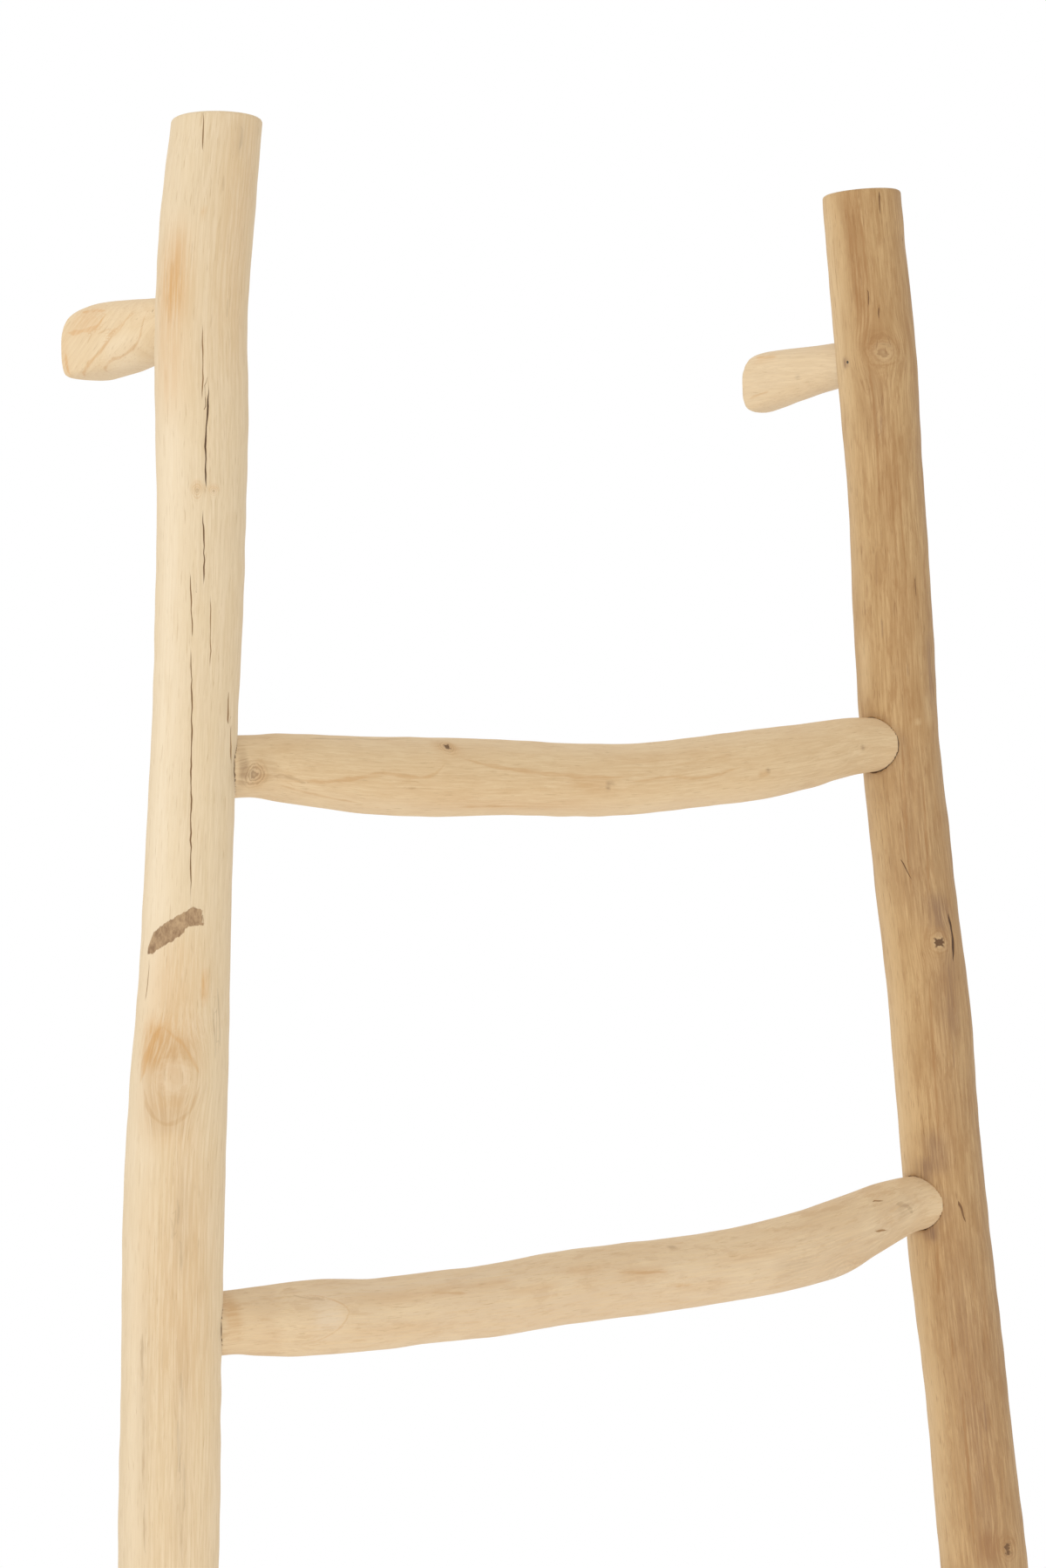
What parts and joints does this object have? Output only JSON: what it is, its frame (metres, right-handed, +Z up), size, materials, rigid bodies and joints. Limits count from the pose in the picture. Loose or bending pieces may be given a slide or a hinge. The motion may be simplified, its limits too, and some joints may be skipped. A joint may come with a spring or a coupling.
{
  "type": "decorative ladder",
  "caption": "Decorative ladder of peeled branches: round rails spreading towards the floor, bowed rungs tenoned into them, and pegs behind the top that keep it off the wall.",
  "frame": {"origin": "middle of the floor space that the ladder takes, pegs included, at floor level", "axes": "+X to the right of someone facing the ladder, +Y to the wall behind it, +Z up"},
  "size_m": [0.6878, 0.1479, 1.8],
  "materials": {
    "left_rail_wood": "peeled and sanded pale wood, uncoated",
    "right_rail_wood": "peeled and sanded golden brown wood with a pale sapwood strip, uncoated",
    "rung_wood": "peeled and sanded light wood, uncoated",
    "peg_wood": "sanded pale wood with end grain on the free end, uncoated",
    "nail_steel": "dull drawn wire"
  },
  "bodies": {
    "root": {"left_rail": "left_rail_wood", "right_rail": "right_rail_wood", "rung_1": "rung_wood", "rung_2": "rung_wood", "rung_3": "rung_wood", "rung_4": "rung_wood", "rung_5": "rung_wood", "left_peg": "peg_wood", "right_peg": "peg_wood", "peg_nails": "nail_steel"}
  },
  "joints": []
}
